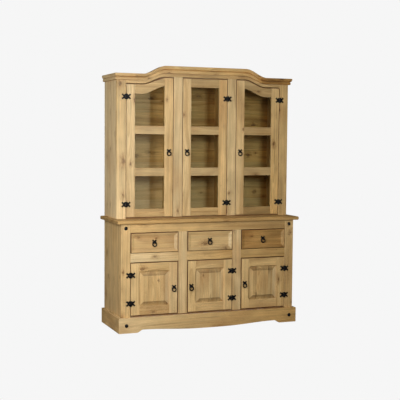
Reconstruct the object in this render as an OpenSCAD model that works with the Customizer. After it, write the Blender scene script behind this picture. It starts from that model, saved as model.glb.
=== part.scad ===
// Pine display cabinet: a base with three drawers and three cupboards, and a glazed hutch with an arched top.
// X runs along the front, Y towards the back and Z up. The origin is on the floor, under the middle of the top board.

/* [Base] */
// Width of the base's top board, the widest piece
top_w = 1320; // [1290:1:1500]
// Depth of the base's top board, the deepest piece
top_d = 436; // [420:1:520]
// Thickness of the base's top board
top_t = 24; // [18:1:40]
// Radius of the rounded edge of the top board
top_round = 7; // [2:0.5:8.5]
// How far the top board stands out in front of the base
top_nose = 26; // [20:1:40]
// Height of the base without its top board
base_h = 723; // [690:1:800]
// Width of both carcasses, over their posts
carcass_w = 1260; // [1200:1:1270]
// Height of the plinth boards
plinth_h = 101; // [90:1:105]
// Thickness of the plinth's front board
plinth_front_t = 20; // [14:1:20]
// Thickness of the plinth's side boards
plinth_side_t = 20; // [12:1:25]
// Width of the flat foot at each end of the plinth
foot_w = 124; // [100:1:160]
// Width of the curve beside each foot
foot_curve_w = 44; // [20:1:80]
// Height of the cut-away beside the feet
foot_rise = 19; // [8:1:25]
// Height of the plinth's lower edge at its middle
plinth_mid_rise = 2; // [1:0.5:6]

/* [Boards] */
// Thickness of the carcass boards and partitions
board_t = 18; // [15:1:22]
// Thickness of the shelves
shelf_t = 18; // [14:1:22]
// Thickness of the back panels
back_t = 8; // [5:1:12]
// Thickness of the front posts, mullions and rails
face_t = 22; // [18:1:28]
// Width of the front posts
post_w = 64; // [56:1:75]
// Width of the mullions between the doors
mullion_w = 64; // [60:1:80]
// Width of the middle bay between the mullions
middle_w = 332; // [310:1:360]
// Height of the sill under the doors
sill_h = 7; // [4:1:14]
// Width of the hairline left where two boards meet in one frame
joint_line = 0.1; // [0.05:0.05:0.3]

/* [Base front] */
// Height of the top rail above the drawers
top_rail_h = 59; // [50:1:70]
// Height of the drawer openings
drawer_open_h = 137; // [120:1:150]
// Height of the rail between drawers and cupboards
mid_rail_h = 60; // [45:1:75]
// Height of the cupboard shelf above the bottom board
cupboard_shelf_z = 170; // [150:1:190]

/* [Hutch] */
// Height of the hutch from the top board to the flat ends of its cornice
hutch_h = 967; // [900:1:1050]
// Depth of the hutch
hutch_d = 299; // [260:1:320]
// Height of the arch at the top of the cornice
arch_rise = 57; // [40:1:60]
// Height of the arch at the lower edge of the arched rail
rail_rise = 49; // [35:1:52]
// Height of the arch at the lower edge of the doors' top rails
glass_rise = 53; // [35:1:56]
// Distance from the middle to where the arch leaves the flat ends
arch_outer_x = 455; // [430:1:475]
// Distance from the middle to where the arch is at its full height
arch_inner_x = 290; // [255:1:310]
// Height of the arched rail at its flat ends, from its lower edge to the top
arch_rail_h = 63; // [55:1:75]
// Height of the upper moulding of the cornice
cornice_up_h = 21; // [15:1:28]
// Height of the lower moulding of the cornice
cornice_low_h = 22; // [15:1:26]
// How far the upper moulding stands out in front
cornice_up_front = 28; // [24:1:34]
// How far the upper moulding stands out at the sides
cornice_up_side = 19; // [14:1:26]
// How far the lower moulding stands out in front
cornice_low_front = 14; // [8:1:20]
// How far the lower moulding stands out at the sides
cornice_low_side = 13; // [5:0.5:14]
// Height of the lower shelves' middle above the top board
shelf_low_z = 313; // [295:1:330]
// Height of the upper shelves' middle above the top board
shelf_high_z = 595; // [575:1:615]

/* [Doors] */
// Gap all round the doors and drawer fronts
door_gap = 3.5; // [2:0.25:4]
// Thickness of the doors and drawer fronts
door_t = 21; // [19:0.5:21.5]
// Width of the glazed doors' stiles
glazed_stile_w = 60; // [50:1:66]
// Height of the glazed doors' bottom rail
glazed_rail_h = 54; // [45:1:65]
// Height of the glazed doors' top rail at its flat end
glazed_top_h = 66; // [58:1:76]
// Height of the glazing bars
bar_h = 56; // [40:1:60]
// Thickness of the glass
glass_t = 4; // [3:0.5:5]
// Depth of the grooves that hold glass and panels
groove_d = 7; // [5:0.5:9]
// Clearance of glass and panels in their grooves
groove_play = 0.2; // [0.1:0.05:0.4]
// Distance of the glass from the face of the door
glass_set = 9; // [7:0.5:11]
// Width of the panelled doors' stiles
panel_stile_w = 60; // [55:1:70]
// Height of the panelled doors' rails
panel_rail_h = 61; // [55:1:72]
// Width of the stopped chamfer round each panel
chamfer_w = 6; // [4:0.5:10]
// Depth of the stopped chamfer, from the face
chamfer_d = 4; // [3:0.5:6]
// Radius of the chamfer's run-out at its ends
chamfer_end_r = 60; // [25:1:80]
// Distance of the chamfer's ends from the corners
chamfer_stop = 4; // [2:1:16]
// Thickness of a panel's edge, in its groove
panel_edge_t = 9; // [6:0.5:10]
// Distance of the raised field from the face of the door
field_set = 1.5; // [1:0.5:5]
// Width of the bevel round the raised field
bevel_w = 28; // [18:1:34]
// Height of the small step round the raised field
field_step = 1.5; // [0.5:0.25:2.5]
// Distance of the panel's back from the back of the door
panel_back_set = 3; // [1:0.5:5]

/* [Drawers] */
// Width of the flat lip round a drawer front
lip_w = 5; // [3:0.5:9]
// Width of the slope inside the lip
slope_w = 20; // [12:1:26]
// Depth of the sunk field of a drawer front
sunk_d = 7; // [4:0.5:10]
// Thickness of the drawer sides and backs
side_t = 12; // [9:1:16]
// Thickness of the drawer bottoms
bottom_t = 6; // [4:0.5:9]
// Depth of a drawer box behind its front
box_d = 330; // [280:1:350]
// Gap between a drawer box and the edge of its opening, and from the box to its guides
box_gap = 4; // [3:0.5:8]
// Gap between the top of a drawer box and the rail above
box_top_gap = 14; // [8:1:30]
// Height of a drawer bottom above the rail
bottom_lift = 10; // [8:0.5:14]
// How far the drawer runners reach in under the drawer
runner_w = 18; // [14:1:26]
// Thickness of the drawer runners
runner_t = 20; // [14:1:28]
// Height of the guides above the runners
guide_h = 25; // [15:1:40]
// Clearance between drawer and runner
runner_play = 0.3; // [0.2:0.05:0.5]

/* [Iron fittings] */
// Radius of the hinges' round middle
hinge_r = 19; // [16:0.5:22]
// Distance of the hinges' horn tips from the pin
horn_x = 33; // [28:0.5:36]
// Height of the hinges' horn tips above the middle
horn_z = 20; // [16:0.5:22]
// Width of a hinge's horns at their tips
horn_w = 12.5; // [8:0.5:14]
// Thickness of hinge leaves
leaf_t = 2.5; // [1.5:0.25:3]
// Radius of the hinges' knuckles
knuckle_r = 5; // [4.5:0.25:5.5]
// Height of the row of knuckles on a hinge
knuckle_h = 36; // [28:1:38]
// Radius of the hinge pins
pin_r = 2; // [1.5:0.1:2.6]
// Running clearance of a door's knuckle on its pin
pin_play = 0.05; // [0.03:0.01:0.08]
// Clearance between knuckles, and from a knuckle to the wood
knuckle_play = 0.4; // [0.3:0.05:0.5]
// Distance of the glazed doors' hinges from their top and bottom
glazed_hinge_in = 86; // [60:1:110]
// Distance of the panelled doors' hinges from their top and bottom
panel_hinge_in = 82; // [60:1:110]
// Width of the plate behind a pull
plate_w = 34.5; // [30:0.5:38]
// Height of the plate behind a pull
plate_h = 30; // [25:0.5:32]
// Width of the arms of a pull's plate at their tips
arm_w = 11.5; // [8:0.5:13]
// Thickness of a pull's plate
plate_t = 3; // [2:0.25:4]
// Radius of a pull's ring at the middle of its wire
ring_r = 13.25; // [12.5:0.25:16]
// Radius of the ring's wire
wire_r = 4; // [3:0.25:4.25]
// Clearance of the ring in its eye
ring_play = 0.45; // [0.4:0.05:0.5]
// Clearance of the hanging ring from its plate
plate_play = 0.6; // [0.55:0.05:0.9]
// Wall of the eye round the ring
eye_wall = 2.3; // [1.8:0.1:2.6]
// Width of the eye that holds the ring
eye_w = 5; // [3.5:0.5:6]
// Distance of the eye below the middle of the plate
eye_drop = 4; // [0.5:0.25:4.5]
// Height of the glazed doors' pulls above the top board
glazed_pull_z = 450; // [380:1:520]
// Height of the panelled doors' pulls above the floor
panel_pull_z = 287; // [250:1:320]
// Radius of the studs' domed heads
stud_r = 12.5; // [9:0.5:15]
// Height of the studs' domed heads
stud_h = 5.5; // [4:0.25:6]
// Distance of the studs from the outer edge of the posts
stud_in = 33; // [25:1:40]
// Width of a magnetic catch
catch_w = 38; // [34:1:44]
// Depth and height of a magnetic catch
catch_t = 13; // [10:1:16]

/* [Hidden] */
$fn = 64;
// Colours of the waxed pine in the light, on its sides and inside, and of the iron, glass and catches
pine = [0.80, 0.67, 0.46];
pine_side = [0.65, 0.54, 0.39];
pine_inside = [0.55, 0.43, 0.27];
iron = [0.08, 0.08, 0.09];
clear = [0.75, 0.80, 0.78, 0.35];
catch_grey = [0.6, 0.6, 0.6];

// Planes from front to back
half_w = carcass_w / 2;
back_y = top_d / 2;
top_front_y = -top_d / 2;
base_y = top_front_y + top_nose;
hutch_y = back_y - hutch_d;
back_panel_y = back_y - back_t;
eps = 0.01;

// Levels
top_z = base_h + top_t;
drawer_z1 = base_h - top_rail_h;
drawer_z0 = drawer_z1 - drawer_open_h;
mid_rail_z0 = drawer_z0 - mid_rail_h;
base_sill_z = plinth_h + sill_h;
base_floor_z = plinth_h + board_t;
hutch_sill_z = top_z + sill_h;
hutch_floor_z = top_z + board_t;
flat_top_z = top_z + hutch_h;
hutch_roof_z = flat_top_z - board_t;
arch_rail_z = flat_top_z - arch_rail_h;

// Bays from left to right, between posts and mullions
left = 0;
middle = 1;
right = 2;
bays = [left, middle, right];
bay_x0 = [-half_w + post_w, -middle_w / 2, middle_w / 2 + mullion_w];
bay_x1 = [-middle_w / 2 - mullion_w, middle_w / 2, half_w - post_w];
// The left doors hang at their left, the others at their right
hinge_side = [-1, 1, 1];
mullion_x = middle_w / 2 + mullion_w / 2;
inner_x = half_w - board_t;

// Positions of the fittings
knuckle_y = knuckle_r + knuckle_play;
ring_y = plate_t + plate_play + wire_r;
eye_hole_r = wire_r + ring_play;
glazed_pull_level = top_z + glazed_pull_z;
drawer_pull_level = (drawer_z0 + drawer_z1) / 2;
glazed_top_z = arch_rail_z - door_gap;
glazed_bottom_z = hutch_sill_z + door_gap;
panel_top_z = mid_rail_z0 - door_gap;
panel_bottom_z = base_sill_z + door_gap;
glazed_hinges = [glazed_bottom_z + glazed_hinge_in, glazed_top_z - glazed_hinge_in];
panel_hinges = [panel_bottom_z + panel_hinge_in, panel_top_z - panel_hinge_in];

// Share of the arch's full height at a distance x from the middle: an S from the flat ends to the crown
function arch_share(x) =
    abs(x) >= arch_outer_x ? 0
    : abs(x) <= arch_inner_x ? 1
    : (1 + cos(180 * (abs(x) - arch_inner_x) / (arch_outer_x - arch_inner_x))) / 2;

// Places along x where the arch is drawn, fine on its two curves
arch_steps = 14;
arch_curve = [for (i = [0 : arch_steps]) arch_inner_x + (arch_outer_x - arch_inner_x) * i / arch_steps];
arch_xs = concat([for (i = [arch_steps : -1 : 0]) -arch_curve[i]], arch_curve);

// Height of the arch above a level z of the flat ends, between the rail's lower edge and the cornice's top
function arch_lift(z) = rail_rise + (arch_rise - rail_rise) * (z - arch_rail_z) / arch_rail_h;

// A line from x0 to x1 at level z, lifted by the arch
function arch_line(x0, x1, z, lift) = [
    for (x = concat([x0], [for (a = arch_xs) if (a > x0 + eps && a < x1 - eps) a], [x1]))
        [x, z + lift * arch_share(x)]
];

function reversed(points) = [for (i = [len(points) - 1 : -1 : 0]) points[i]];

// A box between two corners
module block(x0, x1, y0, y1, z0, z1) {
    translate([x0, y0, z0])
        cube([x1 - x0, y1 - y0, z1 - z0]);
}

// An outline in X and Z, as thick as from y0 to y1
module upright(y0, y1) {
    translate([0, y1, 0])
        rotate([90, 0, 0])
            linear_extrude(y1 - y0)
                children();
}

// A board between two arched lines, each given as a level and a lift
module arched_board(x0, x1, y0, y1, low_z, low_lift, high_z, high_lift) {
    upright(y0, y1)
        polygon(concat(arch_line(x0, x1, low_z, low_lift), reversed(arch_line(x0, x1, high_z, high_lift))));
}

// The same piece on both sides of the middle
module both_sides() {
    children();
    mirror([1, 0, 0])
        children();
}

// The front part of what is cut at the two front corners, where a mitre runs from [half_w, y] outwards
module front_of_mitre(y, side, front, depth) {
    reach = 3;
    gap = joint_line / 2;
    translate([0, 0, -depth])
        linear_extrude(4 * depth)
            polygon([
                [-half_w + gap, y], [half_w - gap, y],
                [half_w + reach * side - gap, y - reach * front], [-half_w - reach * side + gap, y - reach * front],
            ]);
}

// The right side part of what is cut at the front corner
module side_of_mitre(y, side, front, depth) {
    reach = 3;
    gap = joint_line / 2;
    translate([0, 0, -depth])
        linear_extrude(4 * depth)
            polygon([
                [half_w, y + gap], [half_w + reach * side, y - reach * front + gap * reach],
                [half_w + reach * side, back_y + depth], [half_w, back_y + depth],
            ]);
}

// Plinth: a front board with a shaped lower edge and two side boards, mitred at the corners
function plinth_edge(x) =
    let (foot_x = half_w + plinth_side_t - foot_w, curve_x = foot_x - foot_curve_w, a = abs(x))
    a >= foot_x ? 0
    : a >= curve_x ? foot_rise * (1 + cos(180 * (a - curve_x) / foot_curve_w)) / 2
    : plinth_mid_rise + (foot_rise - plinth_mid_rise) * pow((1 - cos(180 * a / curve_x)) / 2, 1.6);

plinth_foot_x = half_w + plinth_side_t - foot_w;
plinth_curve_x = plinth_foot_x - foot_curve_w;
plinth_half_xs = concat(
    [half_w + plinth_side_t, plinth_foot_x],
    [for (i = [9 : -1 : 0]) plinth_curve_x + foot_curve_w * i / 10],
    [for (i = [15 : -1 : 0]) plinth_curve_x * i / 16]
);
plinth_xs = concat([for (x = plinth_half_xs) -x], [for (i = [len(plinth_half_xs) - 2 : -1 : 0]) plinth_half_xs[i]]);

module plinth() {
    outer_x = half_w + plinth_side_t;
    color(pine) {
        intersection() {
            upright(base_y - plinth_front_t, base_y)
                polygon(concat([for (x = plinth_xs) [x, plinth_edge(x)]], [[outer_x, plinth_h], [-outer_x, plinth_h]]));
            front_of_mitre(base_y, plinth_side_t, plinth_front_t, plinth_h);
        }
        both_sides()
            intersection() {
                block(half_w, outer_x, base_y - plinth_front_t, back_y, 0, plinth_h);
                side_of_mitre(base_y, plinth_side_t, plinth_front_t, plinth_h);
            }
    }
}

module base_side_panels() {
    color(pine_side)
        both_sides()
            block(inner_x, half_w, base_y + face_t, back_y, 0, base_h);
}

module base_posts() {
    color(pine)
        both_sides()
            block(half_w - post_w, half_w, base_y, base_y + face_t, 0, base_h);
}

module base_mullions() {
    color(pine)
        both_sides()
            block(mullion_x - mullion_w / 2, mullion_x + mullion_w / 2, base_y, base_y + face_t,
                base_sill_z, drawer_z1);
}

// One long rail above the drawers and a short one under each drawer
module base_rails() {
    color(pine) {
        block(bay_x0[left], bay_x1[right], base_y, base_y + face_t, drawer_z1 + joint_line, base_h);
        for (bay = bays)
            block(bay_x0[bay] + joint_line, bay_x1[bay] - joint_line, base_y, base_y + face_t, mid_rail_z0, drawer_z0);
    }
}

// Bottom board with a thin sill that reaches forward under the doors
module bottom_board(front_y, z) {
    block(-inner_x, inner_x, front_y + face_t, back_panel_y, z, z + board_t);
    block(bay_x0[left], bay_x1[right], front_y, front_y + face_t, z, z + sill_h);
}

module base_bottom_board() {
    color(pine_inside)
        bottom_board(base_y, plinth_h);
}

module base_partitions() {
    color(pine_inside)
        both_sides()
            block(mullion_x - board_t / 2, mullion_x + board_t / 2, base_y + face_t, back_panel_y,
                base_floor_z, base_h);
}

// Clear width of a bay behind the face frame
function bay_in_x0(bay) = bay == left ? -inner_x : (bay == middle ? -mullion_x : mullion_x) + board_t / 2;
function bay_in_x1(bay) = bay == right ? inner_x : (bay == left ? -mullion_x : mullion_x) - board_t / 2;

// A shelf in one bay, housed between its two walls
module shelf(bay, front_y, z) {
    set_back = 12;
    block(bay_in_x0(bay), bay_in_x1(bay), front_y + face_t + set_back, back_panel_y, z - shelf_t / 2, z + shelf_t / 2);
}

module base_shelves() {
    color(pine_inside)
        for (bay = bays)
            shelf(bay, base_y, base_floor_z + cupboard_shelf_z);
}

module base_back_panel() {
    color(pine_inside)
        block(-inner_x, inner_x, back_panel_y, back_y, plinth_h, base_h);
}

// Outline of a board's section with a rounded edge at its right end, or at both ends
module rounded_end(x0, x1, h, both) {
    inset = both ? top_round : 0;
    translate([x0 + inset, 0])
        square([x1 - top_round - x0 - inset, h]);
    for (x = both ? [x0 + top_round, x1 - top_round] : [x1 - top_round]) {
        for (z = [top_round, h - top_round])
            translate([x, z])
                circle(top_round);
        translate([x - top_round, top_round])
            square([2 * top_round, h - 2 * top_round]);
    }
}

// Top board: two rounded sections crossed, so that its front and side edges are round and its back is square
module base_top_board() {
    color(pine)
        translate([0, 0, base_h])
            intersection() {
                upright(top_front_y - 1, back_y + 1)
                    rounded_end(-top_w / 2, top_w / 2, top_t, true);
                translate([-top_w / 2 - 1, 0, 0])
                    rotate([90, 0, 90])
                        linear_extrude(top_w + 2)
                            mirror([1, 0])
                                rounded_end(-back_y, -top_front_y, top_t, false);
            }
}

// A runner under each side of each drawer, fixed to the wall there, and a guide on it beside the drawer
module drawer_runners() {
    color(pine_inside)
        for (bay = bays) {
            runner(bay_in_x0(bay), bay_x0[bay] + runner_w, bay_in_x0(bay), bay_x0[bay]);
            runner(bay_x1[bay] - runner_w, bay_in_x1(bay), bay_x1[bay], bay_in_x1(bay));
        }
}

module runner(x0, x1, guide_x0, guide_x1) {
    y0 = base_y + face_t;
    block(x0, x1, y0, back_panel_y, drawer_z0 - runner_t, drawer_z0);
    block(guide_x0, guide_x1, y0, back_panel_y, drawer_z0 + joint_line, drawer_z0 + guide_h);
}

module hutch_side_panels() {
    color(pine_side)
        both_sides()
            block(inner_x, half_w, hutch_y + face_t, back_y, top_z, hutch_roof_z);
}

// Posts at the outer corners and mullions between the doors, cut to the arch at their tops
module hutch_uprights() {
    color(pine)
        both_sides() {
            block(half_w - post_w, half_w, hutch_y, hutch_y + face_t, top_z, flat_top_z);
            arched_board(mullion_x - mullion_w / 2, mullion_x + mullion_w / 2, hutch_y, hutch_y + face_t,
                hutch_sill_z, 0, arch_rail_z - joint_line, rail_rise);
        }
}

module hutch_arch_rail() {
    color(pine)
        arched_board(bay_x0[left] + joint_line, bay_x1[right] - joint_line, hutch_y, hutch_y + face_t,
            arch_rail_z, rail_rise, flat_top_z, arch_rise);
}

// One moulding of the cornice, standing out by front and side between two levels
module moulding(front, side, z0, z1) {
    x = half_w + side;
    intersection() {
        arched_board(-x, x, hutch_y - front, hutch_y, z0, arch_lift(z0), z1, arch_lift(z1));
        front_of_mitre(hutch_y, cornice_up_side, cornice_up_front, flat_top_z);
    }
}

module moulding_return(front, side, z0, z1) {
    intersection() {
        block(half_w, half_w + side, hutch_y - front, back_y, z0, z1);
        side_of_mitre(hutch_y, cornice_up_side, cornice_up_front, flat_top_z);
    }
}

// Cornice: an upper and a lower moulding in one, over the arch and back along both sides
module cornice() {
    step_z = flat_top_z - cornice_up_h;
    low_z = step_z - cornice_low_h;
    color(pine) {
        union() {
            moulding(cornice_up_front, cornice_up_side, step_z, flat_top_z);
            moulding(cornice_low_front, cornice_low_side, low_z, step_z);
        }
        both_sides() {
            moulding_return(cornice_up_front, cornice_up_side, step_z, flat_top_z);
            moulding_return(cornice_low_front, cornice_low_side, low_z, step_z);
        }
    }
}

module hutch_top_board() {
    color(pine_side)
        block(-half_w, half_w, hutch_y + face_t, back_y, hutch_roof_z, flat_top_z);
}

module hutch_bottom_board() {
    color(pine_inside)
        bottom_board(hutch_y, top_z);
}

module hutch_partitions() {
    color(pine_inside)
        both_sides()
            block(mullion_x - board_t / 2, mullion_x + board_t / 2, hutch_y + face_t, back_panel_y,
                hutch_floor_z, hutch_roof_z);
}

module hutch_shelves() {
    color(pine_inside)
        for (bay = bays)
            for (z = [shelf_low_z, shelf_high_z])
                shelf(bay, hutch_y, top_z + z);
}

module hutch_back_panel() {
    color(pine_inside)
        block(-inner_x, inner_x, back_panel_y, back_y, top_z, hutch_roof_z);
}

// Where a bay's hinge pins stand
function hinge_x(bay) = hinge_side[bay] < 0 ? bay_x0[bay] + door_gap / 2 : bay_x1[bay] - door_gap / 2;

// Moves a fitting to its place at [x, front_y, z]
module at_hinges(bay, front_y, levels) {
    for (z = levels)
        translate([hinge_x(bay), front_y, z])
            children();
}

// Half the width of an arm at its foot, as a share of its width along X at its end
arm_foot = 0.75;

// A slanting arm of a fitting, from the X axis out to its square end, which reaches tip_x and tip_z.
// It stands at 45 degrees and narrows towards the axis.
module arm(tip_x, tip_z, width) {
    slant = width / sqrt(2);
    foot_x = tip_x - tip_z;
    foot = slant * arm_foot;
    polygon([
        [foot_x - foot, 0], [foot_x + foot, 0], [tip_x, tip_z - slant], [tip_x - slant, tip_z],
    ]);
}

// Outline of one hinge leaf to the right of the pin: half a disc with two horns
module leaf_outline() {
    difference() {
        union() {
            circle(hinge_r);
            arm(horn_x, horn_z, horn_w);
            mirror([0, 1])
                arm(horn_x, horn_z, horn_w);
        }
        translate([-2 * hinge_r, -2 * hinge_r])
            square([2 * hinge_r + knuckle_y, 4 * hinge_r]);
    }
}

// One hinge leaf to the right of the pin, with knuckles between the given pairs of levels
module leaf(spans, bore_r) {
    difference() {
        union() {
            upright(-leaf_t, 0)
                leaf_outline();
            for (span = spans) {
                translate([0, -knuckle_y, span[0]])
                    cylinder(r = knuckle_r, h = span[1] - span[0]);
                block(bore_r + 1, knuckle_y + 1, -leaf_t, 0, span[0], span[1]);
            }
        }
        translate([0, -knuckle_y, -knuckle_h])
            cylinder(r = bore_r, h = 2 * knuckle_h);
    }
}

knuckle_mid = knuckle_h / 6;
outer_spans = [[-knuckle_h / 2, -knuckle_mid - knuckle_play], [knuckle_mid + knuckle_play, knuckle_h / 2]];
inner_spans = [[-knuckle_mid, knuckle_mid]];

// The post's leaf reaches away from the door, so it is turned to the hinge's own side
module post_leaf(bay) {
    mirror([hinge_side[bay] < 0 ? 1 : 0, 0, 0])
        leaf(outer_spans, pin_r);
}

module door_leaf(bay) {
    mirror([hinge_side[bay] > 0 ? 1 : 0, 0, 0])
        leaf(inner_spans, pin_r + pin_play);
}

module hinge_post_leaves() {
    color(iron)
        for (bay = bays) {
            at_hinges(bay, hutch_y, glazed_hinges)
                post_leaf(bay);
            at_hinges(bay, base_y, panel_hinges)
                post_leaf(bay);
        }
}

// A pin with a low button on each end
module hinge_pin() {
    button_r = 3.4;
    button_h = 1.2;
    translate([0, -knuckle_y, -knuckle_h / 2]) {
        cylinder(r = pin_r, h = knuckle_h);
        for (z = [-button_h, knuckle_h])
            translate([0, 0, z])
                cylinder(r = button_r, h = button_h);
    }
}

module hinge_pins() {
    color(iron)
        for (bay = bays) {
            at_hinges(bay, hutch_y, glazed_hinges)
                hinge_pin();
            at_hinges(bay, base_y, panel_hinges)
                hinge_pin();
        }
}

// Half of a dome's section, from its small flat top to its rim, in straight steps as a hammer leaves them
dome_r = (stud_r * stud_r + stud_h * stud_h) / (2 * stud_h);
dome_steps = 8;
dome_edge = [
    for (i = [1 : dome_steps])
        let (a = asin(stud_r / dome_r) * i / dome_steps)
            [dome_r * sin(a), dome_r * cos(a) - dome_r + stud_h]
];

// Domed studs on the base's posts and on the ends of the plinth
module stud_nails() {
    color(iron)
        both_sides()
            for (place = [[base_y, base_h - top_rail_h / 2], [base_y - plinth_front_t, plinth_h / 2]])
                translate([half_w - stud_in, place[0], place[1]])
                    rotate([90, 0, 0])
                        rotate_extrude()
                            polygon(concat([[0, 0], [0, dome_edge[0][1]]], dome_edge));
}

// A magnetic catch behind the free edge of each door, fixed to the wall there
module door_catches() {
    upper_z = top_z + shelf_low_z - shelf_t / 2 - catch_t;
    color(catch_grey)
        for (bay = bays)
            for (place = [[hutch_y, upper_z], [base_y, mid_rail_z0]]) {
                wall_x = hinge_side[bay] < 0 ? bay_in_x1(bay) - catch_w : bay_in_x0(bay);
                block(wall_x, wall_x + catch_w, place[0] + face_t, place[0] + face_t + catch_t,
                    place[1], place[1] + catch_t);
            }
}

// Clear opening of a glazed door, from its sill to the arch, grown by a margin
module glazed_opening(bay, y0, y1, margin) {
    x0 = bay_x0[bay] + door_gap + glazed_stile_w - margin;
    x1 = bay_x1[bay] - door_gap - glazed_stile_w + margin;
    arched_board(x0, x1, y0, y1, glazed_bottom_z + glazed_rail_h - margin, 0,
        glazed_top_z - glazed_top_h + margin, glass_rise);
}

bar_levels = [top_z + shelf_low_z, top_z + shelf_high_z];

// Glazed door: two stiles, a bottom rail, two glazing bars and an arched top rail, grooved for the glass
module glazed_frame(bay) {
    x0 = bay_x0[bay] + door_gap;
    x1 = bay_x1[bay] - door_gap;
    in_x0 = x0 + glazed_stile_w;
    in_x1 = x1 - glazed_stile_w;
    rail_x0 = in_x0 + joint_line;
    rail_x1 = in_x1 - joint_line;
    back = hutch_y + door_t;
    color(pine)
        difference() {
            union() {
                for (side = [[x0, in_x0], [in_x1, x1]])
                    arched_board(side[0], side[1], hutch_y, back, glazed_bottom_z, 0, glazed_top_z, rail_rise);
                block(rail_x0, rail_x1, hutch_y, back, glazed_bottom_z, glazed_bottom_z + glazed_rail_h);
                for (z = bar_levels)
                    block(rail_x0, rail_x1, hutch_y, back, z - bar_h / 2, z + bar_h / 2);
                arched_board(rail_x0, rail_x1, hutch_y, back, glazed_top_z - glazed_top_h, glass_rise,
                    glazed_top_z, rail_rise);
            }
            glass_panes(bay, groove_play, groove_d);
        }
}

// The panes of a door, between its rails and bars
module glass_panes(bay, grow, depth) {
    glass_y = hutch_y + glass_set;
    cuts = concat([glazed_bottom_z + glazed_rail_h - bar_h / 2], bar_levels, [flat_top_z + arch_rise]);
    for (i = [0 : len(cuts) - 2])
        intersection() {
            glazed_opening(bay, glass_y - grow, glass_y + glass_t + grow, depth);
            block(-half_w, half_w, hutch_y, back_y,
                cuts[i] + bar_h / 2 - depth, cuts[i + 1] - bar_h / 2 + depth);
        }
}

module glazed_glass(bay) {
    color(clear)
        glass_panes(bay, 0, groove_d - groove_play);
}

// A pull's plate: four arms round the middle, with the eye for the ring in front of it
module pull_plate() {
    difference() {
        union() {
            translate([0, 0, eye_drop])
                upright(-plate_t, 0) {
                    circle(arm_w * arm_foot);
                    for (sx = [0, 1], sz = [0, 1])
                        mirror([sx, 0])
                            mirror([0, sz])
                                arm(plate_w / 2, plate_h / 2, arm_w);
                }
            translate([-eye_w / 2, -ring_y, 0])
                rotate([0, 90, 0])
                    cylinder(r = eye_hole_r + eye_wall, h = eye_w);
            block(-eye_w / 2, eye_w / 2, -ring_y, 0, -eye_hole_r, eye_drop);
        }
        translate([-eye_w, -ring_y, 0])
            rotate([0, 90, 0])
                cylinder(r = eye_hole_r, h = 2 * eye_w);
    }
}

// A ring that hangs from its eye
module pull_ring() {
    translate([0, -ring_y, -ring_r])
        rotate([90, 0, 0])
            rotate_extrude()
                translate([ring_r, 0])
                    circle(wire_r);
}

// Where a door's pull hangs: on the middle of the stile at its free edge
function pull_x(bay, stile) =
    hinge_side[bay] < 0 ? bay_x1[bay] - door_gap - stile / 2 : bay_x0[bay] + door_gap + stile / 2;

module glazed_fittings(bay) {
    color(iron) {
        at_hinges(bay, hutch_y, glazed_hinges)
            door_leaf(bay);
        translate([pull_x(bay, glazed_stile_w), hutch_y, glazed_pull_level])
            pull_plate();
    }
}

module glazed_ring(bay) {
    color(iron)
        translate([pull_x(bay, glazed_stile_w), hutch_y, glazed_pull_level])
            pull_ring();
}

// Clear opening of a panelled door, as [x0, x1, z0, z1]
function panel_opening(bay) = [
    bay_x0[bay] + door_gap + panel_stile_w, bay_x1[bay] - door_gap - panel_stile_w,
    panel_bottom_z + panel_rail_h, panel_top_z - panel_rail_h
];

// Swaps X and Z
module lay_over() {
    mirror([1, 0, -1])
        children();
}

// Cutter for a stopped chamfer on an edge that runs from the origin along Z, with wood towards -X and +Y.
// It is flat along the chamfer, and its round ends run the chamfer out before the corners.
module chamfer_cutter(length) {
    depth = chamfer_w * chamfer_d / norm([chamfer_w, chamfer_d]);
    run_out = sqrt(2 * chamfer_end_r * depth - depth * depth);
    low = chamfer_stop + run_out;
    high = length - low;
    rotate([90, 0, -atan2(chamfer_w, chamfer_d)])
        linear_extrude(3 * chamfer_w, center = true)
            intersection() {
                translate([chamfer_end_r - depth, 0])
                    union() {
                        translate([-chamfer_end_r, low])
                            square([2 * chamfer_end_r, high - low]);
                        translate([0, low])
                            circle(chamfer_end_r);
                        translate([0, high])
                            circle(chamfer_end_r);
                    }
                translate([-depth, 0])
                    square([4 * depth, length]);
            }
}

// Stopped chamfers on the four front edges of an opening
module opening_chamfers(opening, front_y) {
    x0 = opening[0];
    x1 = opening[1];
    z0 = opening[2];
    z1 = opening[3];
    translate([x0, front_y, z0])
        chamfer_cutter(z1 - z0);
    translate([x1, front_y, z0])
        mirror([1, 0, 0])
            chamfer_cutter(z1 - z0);
    translate([x0, front_y, z0])
        lay_over()
            chamfer_cutter(x1 - x0);
    translate([x0, front_y, z1])
        mirror([0, 0, 1])
            lay_over()
                chamfer_cutter(x1 - x0);
}

panel_back = door_t - panel_back_set;
panel_edge = panel_back - panel_edge_t;

// Panelled door: two stiles and two rails, grooved for the panel
module panelled_frame(bay) {
    x0 = bay_x0[bay] + door_gap;
    x1 = bay_x1[bay] - door_gap;
    opening = panel_opening(bay);
    back = base_y + door_t;
    rail_x0 = opening[0] + joint_line;
    rail_x1 = opening[1] - joint_line;
    color(pine)
        difference() {
            union() {
                block(x0, opening[0], base_y, back, panel_bottom_z, panel_top_z);
                block(opening[1], x1, base_y, back, panel_bottom_z, panel_top_z);
                block(rail_x0, rail_x1, base_y, back, panel_bottom_z, opening[2]);
                block(rail_x0, rail_x1, base_y, back, opening[3], panel_top_z);
            }
            block(opening[0] - groove_d, opening[1] + groove_d, base_y + panel_edge - groove_play,
                base_y + panel_back + groove_play, opening[2] - groove_d, opening[3] + groove_d);
            opening_chamfers(opening, base_y);
        }
}

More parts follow.
